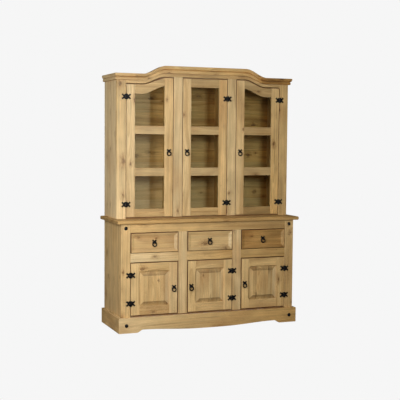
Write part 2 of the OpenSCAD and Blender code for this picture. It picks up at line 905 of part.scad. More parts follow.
// Section of a raised panel across an opening from a0 to a1, as points of place and depth
function raised_section(a0, a1) =
    let (tongue = groove_d - groove_play) [
        [a0 - tongue, panel_back], [a1 + tongue, panel_back], [a1 + tongue, panel_edge], [a1, panel_edge],
        [a1 - bevel_w, field_set + field_step], [a1 - bevel_w, field_set],
        [a0 + bevel_w, field_set], [a0 + bevel_w, field_set + field_step], [a0, panel_edge], [a0 - tongue, panel_edge],
    ];

// Section of the cut that sinks a drawer front's field, for a front from a0 to a1
function sunk_section(a0, a1) = [
    [a0 + lip_w, -1], [a1 - lip_w, -1], [a1 - lip_w, 0], [a1 - lip_w - slope_w, sunk_d],
    [a0 + lip_w + slope_w, sunk_d], [a0 + lip_w, 0],
];

// The common part of one section drawn across X and another drawn across Z, which gives mitred slopes
module crossed(x_section, z_section, x0, x1, z0, z1) {
    intersection() {
        translate([0, 0, z0])
            linear_extrude(z1 - z0)
                polygon(x_section);
        lay_over()
            translate([0, 0, x0])
                linear_extrude(x1 - x0)
                    polygon(z_section);
    }
}

module raised_panel(bay) {
    opening = panel_opening(bay);
    x0 = opening[0];
    x1 = opening[1];
    z0 = opening[2];
    z1 = opening[3];
    color(pine)
        translate([0, base_y, 0])
            crossed(raised_section(x0, x1), raised_section(z0, z1),
                x0 - groove_d, x1 + groove_d, z0 - groove_d, z1 + groove_d);
}

module panelled_fittings(bay) {
    color(iron) {
        at_hinges(bay, base_y, panel_hinges)
            door_leaf(bay);
        translate([pull_x(bay, panel_stile_w - chamfer_w), base_y, panel_pull_z])
            pull_plate();
    }
}

module panelled_ring(bay) {
    color(iron)
        translate([pull_x(bay, panel_stile_w - chamfer_w), base_y, panel_pull_z])
            pull_ring();
}

// Drawer front: a board with a field sunk behind a sloping border
module drawer_front(bay) {
    x0 = bay_x0[bay] + door_gap;
    x1 = bay_x1[bay] - door_gap;
    z0 = drawer_z0 + door_gap;
    z1 = drawer_z1 - door_gap;
    color(pine)
        difference() {
            block(x0, x1, base_y, base_y + door_t, z0, z1);
            translate([0, base_y, 0])
                crossed(sunk_section(x0, x1), sunk_section(z0, z1), x0, x1, z0, z1);
        }
}

// Drawer box behind the front: two sides, a back and a bottom
module drawer_box(bay) {
    x0 = bay_x0[bay] + box_gap;
    x1 = bay_x1[bay] - box_gap;
    in_x0 = x0 + side_t + joint_line;
    in_x1 = x1 - side_t - joint_line;
    y0 = base_y + door_t;
    y1 = y0 + box_d;
    z0 = drawer_z0 + runner_play;
    z1 = drawer_z1 - box_top_gap;
    bottom_z = drawer_z0 + bottom_lift;
    color(pine_inside) {
        block(x0, x0 + side_t, y0, y1, z0, z1);
        block(x1 - side_t, x1, y0, y1, z0, z1);
        block(in_x0, in_x1, y0, y1, bottom_z, bottom_z + bottom_t);
        block(in_x0, in_x1, y1 - side_t, y1, bottom_z + bottom_t + joint_line, z1);
    }
}

// Moves a pull to the middle of a drawer's sunk field
module at_drawer(bay) {
    translate([(bay_x0[bay] + bay_x1[bay]) / 2, base_y + sunk_d, drawer_pull_level])
        children();
}

module drawer_plate(bay) {
    color(iron)
        at_drawer(bay)
            pull_plate();
}

module drawer_ring(bay) {
    color(iron)
        at_drawer(bay)
            pull_ring();
}

plinth();
base_side_panels();
base_posts();
base_mullions();
base_rails();
base_bottom_board();
base_partitions();
base_shelves();
base_back_panel();
base_top_board();
drawer_runners();
hutch_side_panels();
hutch_uprights();
hutch_arch_rail();
cornice();
hutch_top_board();
hutch_bottom_board();
hutch_partitions();
hutch_shelves();
hutch_back_panel();
hinge_post_leaves();
hinge_pins();
stud_nails();
door_catches();
glazed_frame(left);  // upper_left_door_frame
glazed_glass(left);  // upper_left_glass
glazed_fittings(left);  // upper_left_fittings
glazed_ring(left);  // upper_left_ring
glazed_frame(middle);  // upper_middle_door_frame
glazed_glass(middle);  // upper_middle_glass
glazed_fittings(middle);  // upper_middle_fittings
glazed_ring(middle);  // upper_middle_ring
glazed_frame(right);  // upper_right_door_frame
glazed_glass(right);  // upper_right_glass
glazed_fittings(right);  // upper_right_fittings
glazed_ring(right);  // upper_right_ring
panelled_frame(left);  // lower_left_door_frame
raised_panel(left);  // lower_left_panel
panelled_fittings(left);  // lower_left_fittings
panelled_ring(left);  // lower_left_ring
panelled_frame(middle);  // lower_middle_door_frame
raised_panel(middle);  // lower_middle_panel
panelled_fittings(middle);  // lower_middle_fittings
panelled_ring(middle);  // lower_middle_ring
panelled_frame(right);  // lower_right_door_frame
raised_panel(right);  // lower_right_panel
panelled_fittings(right);  // lower_right_fittings
panelled_ring(right);  // lower_right_ring
drawer_front(left);  // left_drawer_front
drawer_box(left);  // left_drawer_box
drawer_plate(left);  // left_drawer_plate
drawer_ring(left);  // left_drawer_ring
drawer_front(middle);  // middle_drawer_front
drawer_box(middle);  // middle_drawer_box
drawer_plate(middle);  // middle_drawer_plate
drawer_ring(middle);  // middle_drawer_ring
drawer_front(right);  // right_drawer_front
drawer_box(right);  // right_drawer_box
drawer_plate(right);  // right_drawer_plate
drawer_ring(right);  // right_drawer_ring
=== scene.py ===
"""Pine display cabinet: waxed knotty boards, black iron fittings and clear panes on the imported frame."""

import math
import random

import bmesh
import bpy
from mathutils import Matrix, Vector


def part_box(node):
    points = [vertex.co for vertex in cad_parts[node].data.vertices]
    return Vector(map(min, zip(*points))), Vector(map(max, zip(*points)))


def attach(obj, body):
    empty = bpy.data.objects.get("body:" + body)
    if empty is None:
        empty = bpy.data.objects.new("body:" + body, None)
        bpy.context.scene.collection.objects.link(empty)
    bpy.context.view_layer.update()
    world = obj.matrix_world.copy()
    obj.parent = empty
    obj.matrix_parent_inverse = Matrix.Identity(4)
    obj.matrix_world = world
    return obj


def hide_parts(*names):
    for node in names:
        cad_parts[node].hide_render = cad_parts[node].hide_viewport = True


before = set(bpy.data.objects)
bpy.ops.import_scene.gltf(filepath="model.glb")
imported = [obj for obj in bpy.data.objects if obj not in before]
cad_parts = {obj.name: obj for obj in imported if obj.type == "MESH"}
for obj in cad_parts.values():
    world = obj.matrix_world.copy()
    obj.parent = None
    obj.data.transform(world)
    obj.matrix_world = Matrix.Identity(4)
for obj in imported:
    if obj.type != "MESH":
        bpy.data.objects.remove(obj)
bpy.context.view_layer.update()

# Bodies, planes and levels of the frame, in metres
BAYS = ("left", "middle", "right")
CABINET = "cabinet"
HUTCH_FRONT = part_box("hutch_uprights")[0].y
HALF_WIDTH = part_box("base_posts")[1].x
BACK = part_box("base_back_panel")[1].y
FLAT_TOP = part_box("hutch_top_board")[1].z


def linear(red, green, blue):
    """A colour given in a screen's steps from 0 to 255, as linear values."""
    steps = [c / 255 for c in (red, green, blue)]
    return tuple(((c + 0.055) / 1.055) ** 2.4 for c in steps) + (1.0,)


def placed(name, data):
    """A new object in the scene."""
    made = bpy.data.objects.new(name, data)
    bpy.context.scene.collection.objects.link(made)
    return made


# Camera: where the photograph was taken from, its lens in millimetres and its turns in degrees
CAMERA_PLACE = (-2.3148, -5.8955, 1.2799)
CAMERA_LENS = 81.81
CAMERA_YAW = 21.42
CAMERA_PITCH = 3.80
CAMERA_ROLL = 0.47


def place_camera():
    yaw = math.radians(CAMERA_YAW)
    pitch = math.radians(CAMERA_PITCH)
    roll = math.radians(CAMERA_ROLL)
    ahead = math.cos(pitch)
    forward = Vector((math.sin(yaw) * ahead, math.cos(yaw) * ahead, -math.sin(pitch)))
    level = Vector((math.cos(yaw), -math.sin(yaw), 0))
    upward = level.cross(forward)
    right = level * math.cos(roll) + upward * math.sin(roll)
    up = right.cross(forward)
    data = bpy.data.cameras.new("camera")
    data.sensor_width = 36
    data.lens = CAMERA_LENS
    data.clip_end = 60
    camera = placed("camera", data)
    turn = Matrix((right, up, -forward)).transposed()
    camera.matrix_world = Matrix.Translation(CAMERA_PLACE) @ turn.to_4x4()
    bpy.context.scene.camera = camera


place_camera()


# Shader expressions
class Value:
    """A socket of a finish. Arithmetic on it adds Math nodes."""

    def __init__(self, finish, socket):
        self.finish = finish
        self.socket = socket

    def __add__(self, other):
        return self.finish.math("ADD", self, other)

    def __radd__(self, other):
        return self.finish.math("ADD", other, self)

    def __sub__(self, other):
        return self.finish.math("SUBTRACT", self, other)

    def __rsub__(self, other):
        return self.finish.math("SUBTRACT", other, self)

    def __mul__(self, other):
        return self.finish.math("MULTIPLY", self, other)

    def __truediv__(self, other):
        return self.finish.math("DIVIDE", self, other)

    def __abs__(self):
        return self.finish.math("ABSOLUTE", self)

    def root(self):
        return self.finish.math("SQRT", self)

    def floor(self):
        return self.finish.math("FLOOR", self)

    def part(self):
        """What is left over its whole number."""
        return self.finish.math("FRACT", self)

    def above(self, limit):
        return self.finish.math("GREATER_THAN", self, limit)

    def least(self, other):
        return self.finish.math("MINIMUM", self, other)

    def most(self, other):
        return self.finish.math("MAXIMUM", self, other)

    def rise(self, low, high):
        """0 below low, 1 above high, and smooth between them."""
        settings = {"interpolation_type": "SMOOTHSTEP"}
        values = {"Value": self, "From Min": low, "From Max": high}
        return self.finish.node("ShaderNodeMapRange", settings, values)

    def fall(self, low, high):
        return 1 - self.rise(low, high)


class Finish:
    """A material whose nodes are written as expressions."""

    def __init__(self, name):
        self.material = bpy.data.materials.new(name)
        self.material.use_nodes = True
        self.tree = self.material.node_tree
        self.tree.nodes.clear()

    def node(self, kind, settings, values, output=0):
        """A node of one kind: its settings come first, then the values or links of its sockets."""
        made = self.tree.nodes.new(kind)
        for name, value in settings.items():
            setattr(made, name, value)
        for name, value in values.items():
            if isinstance(value, Value):
                self.tree.links.new(value.socket, made.inputs[name])
            else:
                made.inputs[name].default_value = value
        return Value(self, made.outputs[output])

    def other(self, value, output):
        """Another output of the node that a value comes from."""
        return Value(self, value.socket.node.outputs[output])

    def math(self, operation, *terms):
        return self.node("ShaderNodeMath", {"operation": operation}, dict(enumerate(terms)))

    def join(self, x, y, z):
        return self.node("ShaderNodeCombineXYZ", {}, {"X": x, "Y": y, "Z": z})

    def split(self, vector):
        x = self.node("ShaderNodeSeparateXYZ", {}, {"Vector": vector})
        return x, self.other(x, "Y"), self.other(x, "Z")

    def attribute(self, name, output="Vector"):
        return self.node("ShaderNodeAttribute", {"attribute_name": name}, {}, output)

    def noise(self, vector, detail):
        """Noise with features about as large as the vector's unit, mostly between 0.3 and 0.7."""
        values = {"Vector": vector, "Scale": 1.0, "Detail": detail}
        return self.node("ShaderNodeTexNoise", {}, values)

    def mix(self, factor, first, second):
        """A colour between two others. The numbers are those of the node's colour sockets."""
        settings = {"data_type": "RGBA"}
        return self.node("ShaderNodeMix", settings, {0: factor, 6: first, 7: second}, 2)

    def scaled(self, colour, factor):
        values = {"Vector": colour, "Scale": factor}
        return self.node("ShaderNodeVectorMath", {"operation": "SCALE"}, values)

    def bump(self, height, distance, strength):
        values = {"Height": height, "Distance": distance, "Strength": strength}
        return self.node("ShaderNodeBump", {}, values)

    def output(self, shader):
        made = self.tree.nodes.new("ShaderNodeOutputMaterial")
        self.tree.links.new(shader.socket, made.inputs["Surface"])
        return self.material

    def principled(self, values):
        return self.output(self.node("ShaderNodeBsdfPrincipled", {}, values))


# Pine: rings round a pith that wanders along the board, knots, streaks, patches of wax, painted gap shade
# on edges, and painted light and shade on boards
# Sizes are in metres, and the shares say how many cells of the grid hold a knot or a speck
STAVE_WIDTH = 0.088
STAVED_HALF_WIDTH = 0.075
RING_WIDTH = 0.0046
KNOT_CELL = 0.125
KNOT_RADIUS = 0.0125
KNOT_SHARE = 0.50
KNOT_LENGTH = 1.45
SPECK_CELL = 0.055
SPECK_RADIUS = 0.0030
SPECK_SHARE = 0.24
# Colour of the painted shade in gaps, on sills, in sunk fields and under the arch
GAP_SHADE_COLOUR = linear(92, 50, 24)

# Widths of the painted shade lines on fronts, in metres, and how dark the painted shadow under the arch is
LINE_WIDTH = 0.0030
LINE_FADE = 0.0007
TOP_LINE = 0.0048
TOP_SHADOW_STRENGTH = 0.80


class Knots:
    """One knot in some cells of a grid on the board, longer along the grain than across it."""

    def __init__(self, finish, across, along, cell, shift, largest, share):
        place = finish.join((across + shift) / cell, along / (cell * KNOT_LENGTH) + shift * 90, 0)
        settings = {"voronoi_dimensions": "2D", "feature": "F1"}
        values = {"Vector": place, "Scale": 1.0, "Randomness": 0.9}
        near = finish.node("ShaderNodeTexVoronoi", settings, values)
        chance, size, _ = finish.split(finish.other(near, "Color"))
        self.there = chance.above(1 - share)
        self.radius = (size * size * 0.60 + 0.40) * largest
        here_x, here_y, _ = finish.split(place)
        knot_x, knot_y, _ = finish.split(finish.other(near, "Position"))
        self.aside = (here_x - knot_x) * cell / self.radius
        self.ahead = (here_y - knot_y) * cell / self.radius
        self.near = (self.aside * self.aside + self.ahead * self.ahead).root()


def pine(name, pale, late, warm, knot, rim, roughness, contrast):
    """Pine in five colours: the pale and late wood of a year, warm wax, and a knot's inside and rim."""
    finish = Finish(name)
    across, through, along = finish.split(finish.attribute("place"))
    half_across, half_through, half_along = finish.split(finish.attribute("half"))
    pick, turn, tone = finish.split(finish.attribute("board"))
    # Painted shadow line along the upper edge of a glazed door, under the arch
    near_top = finish.attribute("near_top", "Fac")
    arch_shadow_line = near_top.rise(1 - TOP_LINE - LINE_FADE, 1 - TOP_LINE) * TOP_SHADOW_STRENGTH
    # Painted gap shade, with the painted shadow under the arch
    painted_gap_shade = finish.attribute("painted_gap_shade", "Fac").most(arch_shadow_line)
    # Depth of wax and painted light of each board
    wax_and_painted_light = finish.attribute("wax_and_painted_light", "Fac")
    # Painted shade of each board, painted light where below zero
    painted_shade = finish.attribute("painted_shade", "Fac")

    # Wide boards are glued up from staves, each with a log of its own
    wide = half_across.above(STAVED_HALF_WIDTH)
    stave_place = across / STAVE_WIDTH + pick
    stave = stave_place.floor() * wide
    seed = finish.join(stave + tone * 50, turn * 50, 0)
    flat = {"noise_dimensions": "2D"}
    chances = finish.node("ShaderNodeTexWhiteNoise", flat, {"Vector": seed}, "Color")
    aside, depth, shade = finish.split(chances)
    seam_place = stave_place.part()
    seam = (seam_place.least(1 - seam_place) * STAVE_WIDTH).fall(0.0002, 0.0008) * wide

    # Knots bend the rings round them and drag dark streaks along the grain
    # In each noise, a factor on a direction is about how many features it has in a metre
    log = along + turn * 9 + shade * 5
    warp = finish.noise(finish.join(across * 60, through * 60, log * 38), 2.0) - 0.5
    large = Knots(
        finish, across + warp * 0.012, log + warp * 0.016, KNOT_CELL, aside, KNOT_RADIUS, KNOT_SHARE
    )
    small = Knots(finish, across + warp * 0.003, log, SPECK_CELL, depth, SPECK_RADIUS, SPECK_SHARE)
    bend = large.near.fall(0.0, 3.4) * large.there * large.radius * 1.7
    tail_aside = large.aside * 0.7 + warp * 2.0
    tail_ahead = large.ahead * 0.19
    tail = (tail_aside * tail_aside + tail_ahead * tail_ahead).root().fall(0.05, 1.0) * large.there

    # The pith drifts along the board, and each year's ring ends in a dark line of latewood
    drift = finish.noise(finish.join(log * 1.3, aside * 30, 0), 1.0) - 0.5
    side = across + (aside - 0.5) * 0.15 + drift * 0.11
    deep = through + depth * 0.07 + 0.016 + drift * 0.05
    waver = finish.noise(finish.join(across * 22, through * 22, log * 4), 2.0) - 0.5
    ring = (side * side + deep * deep).root() + waver * 0.009 + bend
    year = ring / RING_WIDTH + finish.noise(finish.join(ring * 70, aside * 20, 0), 1.0) * 3.0
    season = year.part()
    latewood = season.rise(0.30, 0.93) * season.fall(0.95, 1.0)

    # Noises of several sizes, from broad clouds down to single fibres
    streak = finish.noise(finish.join(across * 75 + tone * 30, through * 75, log * 2.0), 3.0)
    band = finish.noise(finish.join(ring * 42, aside * 9, log * 0.9), 2.0)
    blotch = finish.noise(finish.join(across * 16 + tone * 20, through * 16, log * 7), 3.0)
    cloud = finish.noise(finish.join(across * 5 + turn * 20, through * 5, log * 2.2), 1.0)
    fibre = finish.noise(finish.join(across * 1100, through * 1100, log * 30), 2.0)

    # Colour: rings, bands and clouds first, then the knots with their smudge, cracks, rings and rim
    colour = finish.mix(latewood * (streak * 0.9 + 0.15), pale, late)
    colour = finish.mix(band.rise(0.46, 0.70) * 0.55 * contrast, colour, late)
    colour = finish.mix(cloud.rise(0.50, 0.70) * 0.50 * contrast, colour, warm)
    broken = finish.noise(finish.join(across * 170, through * 170, log * 80), 3.0)
    veins = finish.noise(finish.join(across * 70, through * 70, log * 34), 2.0)
    halo = (large.near + (blotch - 0.5) * 7.0).fall(0.6, 4.4) * large.there
    smudge = (halo * 0.45 + tail * (streak * 1.4 - 0.3)) * (broken * 1.9)
    colour = finish.mix(smudge.least(0.90), colour, warm)
    cracks = abs(veins - 0.5).fall(0.004, 0.030) * halo
    colour = finish.mix(cracks * 0.60, colour, knot)
    ragged = large.near + (broken - 0.5) * 1.3
    inside = ragged.fall(0.55, 0.95) * large.there
    outline = ragged.rise(0.50, 0.85) * ragged.fall(0.90, 1.50) * large.there
    knot_rings = (large.near * 5 + streak * 2).part()
    colour = finish.mix(inside * 0.75, colour, knot)
    colour = finish.mix(inside * knot_rings * 0.35, colour, rim)
    colour = finish.mix(outline * streak.rise(0.35, 0.6) * 0.65, colour, rim)
    speck = small.near.fall(0.4, 1.4) * small.there
    colour = finish.mix(speck * 0.6, colour, rim)

    # Edges: worn and given a painted highlight at the corners, dark in the end grain, darkened by painted
    # gap shade where they face a door's gap
    from_across = half_across - abs(across)
    from_through = half_through - abs(through)
    from_along = half_along - abs(along)
    smaller = from_across.least(from_through)
    larger = from_across.most(from_through)
    from_edge = smaller.most(larger.least(from_along))
    # Painted highlight and wear along the corners
    wear_and_highlight = (from_edge + (blotch - 0.5) * 0.006).fall(0.0006, 0.0035) * 0.12
    end = from_along.fall(0.0004, 0.0012)

    # Brightness with wear and a painted edge highlight, painted shade, depth of wax with painted light,
    # painted gap shade, gloss and relief
    level = (
        1.0
        + (streak - 0.5) * 0.62 * contrast
        + (blotch - 0.5) * 0.52 * contrast
        + (cloud - 0.5) * 0.40 * contrast
        + (fibre - 0.5) * 0.12
        + (tone - 0.5) * 0.10
        + (shade - 0.5) * wide * 0.12
        + wear_and_highlight
        - end * 0.20
        - seam * 0.35
    )
    # Painted shade darkens each board by its share
    colour = finish.scaled(colour, level * (1 - painted_shade))
    # Depth of wax and painted light deepen or pale the colour
    wax_and_light_gamma = 1.0 + wax_and_painted_light + (tone - 0.5) * 0.16 + (shade - 0.5) * wide * 0.16
    colour = finish.node("ShaderNodeGamma", {}, {"Color": colour, "Gamma": wax_and_light_gamma})
    # Painted gap shade darkens edges in gaps, sills, sunk fields and the arch's edge
    colour = finish.mix(painted_gap_shade, colour, GAP_SHADE_COLOUR)
    gloss = (blotch - 0.5) * 0.22 + latewood * -0.05 + end * 0.12 + inside * -0.08 + roughness
    relief = fibre * 0.5 + latewood * 0.35 + inside * 0.3 - seam * 1.2
    return finish.principled({
        "Base Color": colour,
        "Roughness": gloss,
        "Normal": finish.bump(relief, 0.0003, 0.35),
        "Specular IOR Level": 0.35,
    })


def iron(name):
    """Blackened iron with the dimples of a hammer."""
    finish = Finish(name)
    place = finish.node("ShaderNodeTexCoord", {}, {}, "Object")
    settings = {"feature": "SMOOTH_F1"}
    dents = finish.node("ShaderNodeTexVoronoi", settings, {"Vector": place, "Scale": 230.0})
    grit = finish.noise(finish.scaled(place, 1500.0), 2.0)
    cloud = finish.noise(finish.scaled(place, 90.0), 2.0)
    colour = finish.mix(cloud.rise(0.35, 0.7), linear(6, 6, 7), linear(18, 17, 18))
    return finish.principled({
        "Base Color": colour,
        "Specular IOR Level": 0.22,
        "Roughness": 0.36 + grit * 0.12 + cloud * 0.16,
        "Normal": finish.bump(dents * 0.9 + grit * 0.08, 0.0006, 0.7),
    })


def catch_metal(name):
    """Zinc plate with fine scratches."""
    finish = Finish(name)
    place = finish.node("ShaderNodeTexCoord", {}, {}, "Object")
    x, y, z = finish.split(place)
    scratches = finish.noise(finish.join(x * 200, y * 4000, z * 4000), 2.0)
    return finish.principled({
        "Base Color": finish.mix(scratches, linear(150, 152, 156), linear(190, 192, 196)),
        "Metallic": 1.0,
        "Roughness": 0.28 + scratches * 0.15,
        "Normal": finish.bump(scratches, 0.0001, 0.3),
    })


def pane(name):
    """Clear glass: what is behind it shows through, and its surface mirrors a little."""
    finish = Finish(name)
    clear = finish.node("ShaderNodeBsdfTransparent", {}, {"Color": linear(250, 252, 248)})
    mirror = finish.node("ShaderNodeBsdfGlossy", {}, {"Color": linear(255, 255, 255), "Roughness": 0.03})
    share = finish.node("ShaderNodeFresnel", {}, {"IOR": 1.35})
    return finish.output(finish.node("ShaderNodeMixShader", {}, {0: share, 1: clear, 2: mirror}))


# Finishes: the wood outside, a browner and deeper copy inside as painted shade, the metals and the glass
PINE = pine(
    "waxed pine",
    pale=linear(221, 190, 137),
    late=linear(176, 139, 88),
    warm=linear(164, 124, 77),
    knot=linear(112, 74, 42),
    rim=linear(70, 44, 26),
    roughness=0.50,
    contrast=1.45,
)
# Browner and deeper than the outside: painted shade of the cabinet's inside
PINE_INSIDE_SHADED = pine(
    "shaded pine inside",
    pale=linear(220, 180, 114),
    late=linear(166, 122, 66),
    warm=linear(162, 116, 60),
    knot=linear(110, 72, 38),
    rim=linear(66, 42, 22),
    roughness=0.58,
    contrast=1.5,
)
IRON = iron("black iron")
ZINC = catch_metal("zinc catch")
GLASS = pane("clear glass")


# Meshes: tolerances for joining and cutting in metres, and angles in degrees
JOINED = 0.000004
CUT = 0.000001
FLAT_ANGLE = 0.3
CRISP_SLOPE = 14
NO_SLOPE = 180
WOOD_CORNER = 32
IRON_CORNER = 40


def new_piece(name, mesh, body, material, nodes=()):
    """A finished piece at the origin that rides on a body and may stand for nodes of the frame."""
    mesh.name = name
    mesh.materials.clear()
    mesh.materials.append(material)
    piece = placed(name, mesh)
    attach(piece, body)
    if nodes:
        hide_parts(*nodes)


def result_of(work):
    """The plain mesh that an object has after its modifiers. The object itself goes."""
    depsgraph = bpy.context.evaluated_depsgraph_get()
    done = bpy.data.meshes.new_from_object(work.evaluated_get(depsgraph))
    bpy.data.objects.remove(work)
    return done


def applied(mesh, modifiers):
    """The mesh after some modifiers, each given as its kind and settings."""
    work = placed("work", mesh)
    for kind, settings in modifiers:
        modifier = work.modifiers.new(kind, kind)
        for name, value in settings.items():
            setattr(modifier, name, value)
    return result_of(work)


def merged_copy(node, crisp=NO_SLOPE):
    """A node's mesh with its flat faces made whole. Edges that bend by more than crisp look sharp."""
    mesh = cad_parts[node].data.copy()
    shape = bmesh.new()
    shape.from_mesh(mesh)
    bmesh.ops.remove_doubles(shape, verts=shape.verts, dist=JOINED)
    flat = math.radians(FLAT_ANGLE)
    bmesh.ops.dissolve_limit(shape, angle_limit=flat, verts=shape.verts, edges=shape.edges)
    for edge in shape.edges:
        if math.degrees(edge.calc_face_angle(0.0)) > crisp:
            edge.smooth = False
    shape.to_mesh(mesh)
    shape.free()
    return mesh


def softened(mesh, width, sharpest=WOOD_CORNER, rim=None):
    """The mesh with sharp edges rounded and large faces shaded flat, and cut inside a rim if given."""
    for face in mesh.polygons:
        face.use_smooth = True
    bevel = {
        "width": width,
        "segments": 2,
        "limit_method": "ANGLE",
        "angle_limit": math.radians(sharpest),
        "use_clamp_overlap": True,
    }
    rounded = applied(mesh, [("BEVEL", bevel)])
    if rim:
        rim_cuts(rounded, *rim)
    return applied(rounded, [("WEIGHTED_NORMAL", {"keep_sharp": True, "weight": 80})])


def outward_mesh(name, shape):
    """A new mesh of a shape, with all its faces turned outwards. The shape itself goes."""
    bmesh.ops.recalc_face_normals(shape, faces=shape.faces)
    mesh = bpy.data.meshes.new(name)
    shape.to_mesh(mesh)
    shape.free()
    return mesh


def islands(mesh):
    """The points of each separate board in a mesh, in a fixed order."""
    shape = bmesh.new()
    shape.from_mesh(mesh)
    shape.verts.ensure_lookup_table()
    seen = set()
    found = []
    for start in shape.verts:
        if start.index in seen:
            continue
        seen.add(start.index)
        group = [start.index]
        stack = [start]
        while stack:
            for edge in stack.pop().link_edges:
                for other in edge.verts:
                    if other.index not in seen:
                        seen.add(other.index)
                        group.append(other.index)
                        stack.append(other)
        found.append(group)
    shape.free()
    return found


def write_numbers(mesh, name, domain, numbers):
    """Adds an attribute with one number for each point or corner."""
    attribute = mesh.attributes.new(name, "FLOAT", domain)
    attribute.data.foreach_set("value", numbers)


def corner_tones(mesh, tone):
    """The tone at each corner of each face. It is a number or a function of the point and the face."""
    tones = []
    for face in mesh.polygons:
        for i in face.vertices:
            tones.append(tone(mesh.vertices[i].co, face.normal) if callable(tone) else tone)
    return tones


def mark_boards(mesh, seed, along=None, gap_shades=None, wax_and_painted_light=0.0, painted_shade=0.0):
    """Writes on each board its points' places from its middle, its half sizes and three random numbers.

    The three directions are across the board, through it and along its grain, which is its longest side
    unless along names another axis. Where gap shades are given, they say of a point how dark its painted
    gap shade is.
    The two tones are numbers or functions of a point and the face round it: how much deeper or paler than
    elsewhere the colour is, from wax that sank in and from painted light, and how much painted shade
    darkens it.
    """
    chance = random.Random(seed)
    names = ("place", "half", "board")
    values = {name: [0.0] * (3 * len(mesh.vertices)) for name in names}
    for group in islands(mesh):
        points = [mesh.vertices[i].co for i in group]
        low = [min(p[axis] for p in points) for axis in range(3)]
        high = [max(p[axis] for p in points) for axis in range(3)]
        order = sorted(range(3), key=lambda axis: high[axis] - low[axis])
        grain = order[2] if along is None else along
        thin, wide = [axis for axis in order if axis != grain]
        numbers = [chance.random() for _ in range(3)]
        for i, point in zip(group, points):
            for entry, axis in enumerate((wide, thin, grain)):
                values["place"][3 * i + entry] = point[axis] - (low[axis] + high[axis]) / 2
                values["half"][3 * i + entry] = (high[axis] - low[axis]) / 2
                values["board"][3 * i + entry] = numbers[entry]
    for name in names:
        attribute = mesh.attributes.new(name, "FLOAT_VECTOR", "POINT")
        attribute.data.foreach_set("vector", values[name])
    if gap_shades:
        write_numbers(mesh, "painted_gap_shade", "POINT", [gap_shades(vertex.co) for vertex in mesh.vertices])
    for name, tone in (("wax_and_painted_light", wax_and_painted_light), ("painted_shade", painted_shade)):
        write_numbers(mesh, name, "CORNER", corner_tones(mesh, tone))


def rim_cuts(mesh, low, high):
    """Cuts a door's mesh along lines just inside its outline, where its painted gap shade ends in a line.
    """
    shape = bmesh.new()
    shape.from_mesh(mesh)
    for inset in (LINE_WIDTH - LINE_FADE / 2, LINE_WIDTH + LINE_FADE / 2):
        for spot, axis in (
            ((low.x + inset, 0, 0), (1, 0, 0)),
            ((high.x - inset, 0, 0), (1, 0, 0)),
            ((0, 0, low.z + inset), (0, 0, 1)),
            ((0, 0, high.z - inset), (0, 0, 1)),
        ):
            everything = shape.verts[:] + shape.edges[:] + shape.faces[:]
            bmesh.ops.bisect_plane(shape, geom=everything, dist=CUT, plane_co=spot, plane_no=axis)
    shape.to_mesh(mesh)
    shape.free()


def wooden(node, body, inside, edge, seed, along=None, gap_shades=None, rim=False, wax_and_painted_light=0.0, painted_shade=0.0):
    """A node of boards with softened edges and grain."""
    mesh = softened(merged_copy(node, CRISP_SLOPE), edge, rim=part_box(node) if rim else None)
    mark_boards(mesh, seed, along, gap_shades, wax_and_painted_light, painted_shade)
    if node.startswith("upper"):
        mark_top(node, mesh)
    new_piece(node + "_wood", mesh, body, PINE_INSIDE_SHADED if inside else PINE, [node])


# The arch, in metres: where it starts and is full, its rise over the doors and its rise at the top
ARCH_START = 0.455
ARCH_FULL = 0.290
RAIL_RISE = 0.049
ARCH_RISE = 0.057


def arch_share(x):
    """Share of the arch's full height at a distance x from the middle."""
    if abs(x) >= ARCH_START:
        return 0.0
    if abs(x) <= ARCH_FULL:
        return 1.0
    return (1 + math.cos(math.pi * (abs(x) - ARCH_FULL) / (ARCH_START - ARCH_FULL))) / 2


# Painted shade in the gaps round doors and drawer fronts, on sills and in sunk fields: depths and gaps in
# metres, and strengths
SHADE_DEPTH = 0.006
FIELD_WITHIN = 0.009
TOP_LINE_DEPTH = 0.0025
GAP_SEEN = 0.0004
DOOR_GAP = 0.0035
GAP_SHADE = 0.95
SILL_SHADE = 0.75
FIELD_SHADE = 0.06


def front_top(node, top, x):
    """Level of the upper edge of a door or drawer front at a place x, where its highest level is top."""
    return top - RAIL_RISE * (1 - arch_share(x)) if node.startswith("upper") else top


def door_gap_shades(node):
    """Painted gap shade of a door or drawer front: dark on its rim and for a few millimetres down its
    edges, faint in a sunk field.
    """
    low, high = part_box(node)
    line = LINE_WIDTH if node.startswith("lower") else GAP_SEEN
    left_line, right_line = (GAP_SEEN, line) if "left" in node else (line, GAP_SEEN)
    sunk = node.endswith("_front")
    if sunk:
        left_line = LINE_WIDTH
    if node.startswith("upper_right"):
        right_line = LINE_WIDTH

    def gap_shade(point):
        sides = point.x - low.x < left_line or high.x - point.x < right_line
        top = front_top(node, high.z, point.x) - point.z < (LINE_WIDTH if sunk else line)
        if (sides or top or point.z - low.z < line) and point.y < low.y + SHADE_DEPTH:
            return GAP_SHADE
        return FIELD_SHADE * (sunk and low.y + SHADE_DEPTH < point.y < low.y + FIELD_WITHIN)

    return gap_shade


def mark_top(node, mesh):
    """Writes on a glazed door's front 1 less a point's distance below its upper edge, in metres, for the
    painted shadow under the arch.
    """
    low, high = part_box(node)
    values = []
    for vertex in mesh.vertices:
        below = front_top(node, high.z, vertex.co.x) - vertex.co.z
        values.append(1 - below if vertex.co.y < low.y + TOP_LINE_DEPTH else 0.0)
    write_numbers(mesh, "near_top", "POINT", values)


